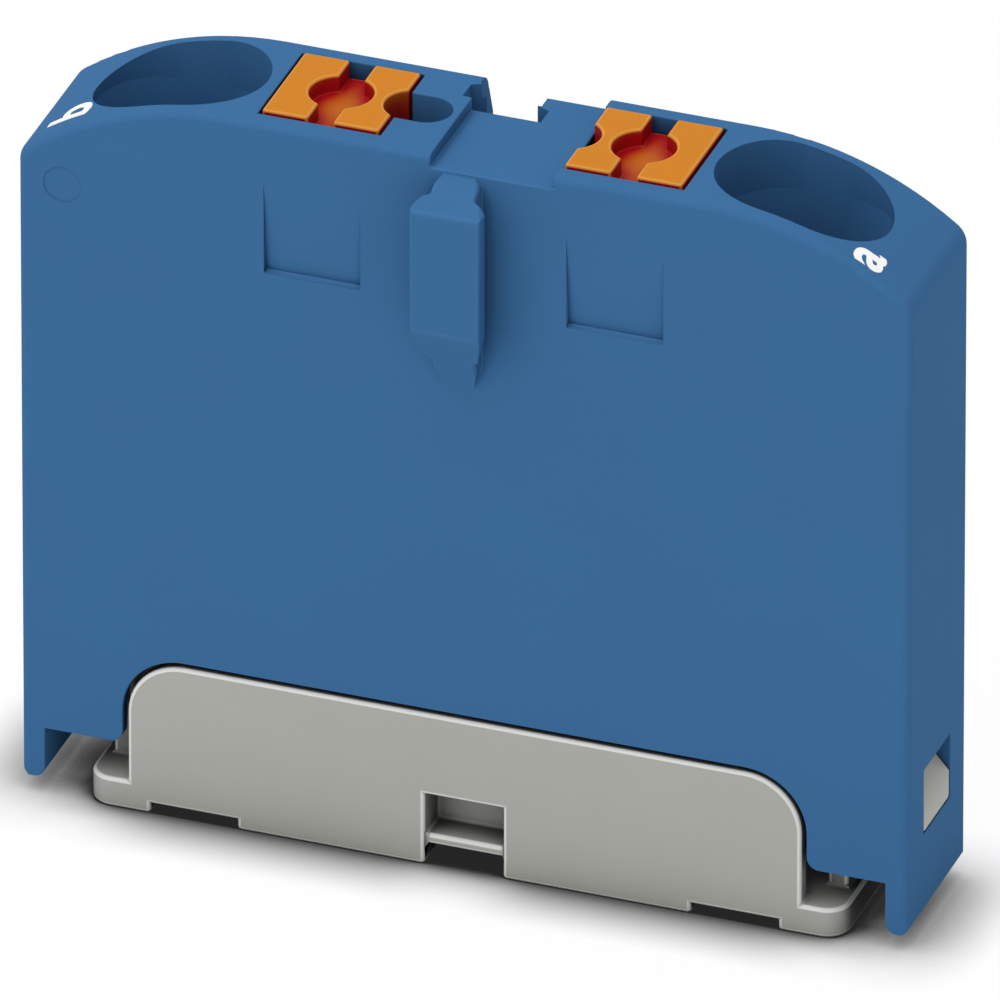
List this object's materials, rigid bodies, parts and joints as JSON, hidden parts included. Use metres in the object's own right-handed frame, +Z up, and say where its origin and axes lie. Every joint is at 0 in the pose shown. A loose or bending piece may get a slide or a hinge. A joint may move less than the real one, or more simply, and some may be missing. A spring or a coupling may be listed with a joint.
{
  "type": "distribution block",
  "caption": "Slim upright push-in distribution block: moulded housing with funnel conductor entries, screwdriver release buttons and a snap-in foot over a bent current bar with leaf springs.",
  "frame": {"origin": "middle of the foot's underside, on the surface that the block stands on, at half the housing's depth", "axes": "+X along the block towards pole a, +Y from the front face with the tongue to the back face with the slot, +Z up out of the conductor entries"},
  "size_m": [0.072, 0.0166, 0.0626],
  "materials": {
    "housing": "fine moulded satin, mid blue polyamide",
    "foot": "fine moulded satin, light grey polyamide",
    "button": "moulded satin, orange polyamide",
    "current_bar": "tinned copper strip",
    "spring": "rolled stainless spring steel"
  },
  "bodies": {
    "block": {"housing": "housing", "foot": "foot", "current_bar": "current_bar", "spring_a": "spring", "spring_b": "spring"},
    "button_a": {"button_a": "button"},
    "button_b": {"button_b": "button"}
  },
  "joints": [
    {"name": "press_a", "type": "slide", "parent": "block", "child": "button_a", "axis": [0, 0, -1], "range_m": [0, 0.0035], "stiffness_N_per_m": 3000, "deforming": ["spring_a"]},
    {"name": "press_b", "type": "slide", "parent": "block", "child": "button_b", "axis": [0, 0, -1], "range_m": [0, 0.0035], "stiffness_N_per_m": 3000, "deforming": ["spring_b"]}
  ]
}
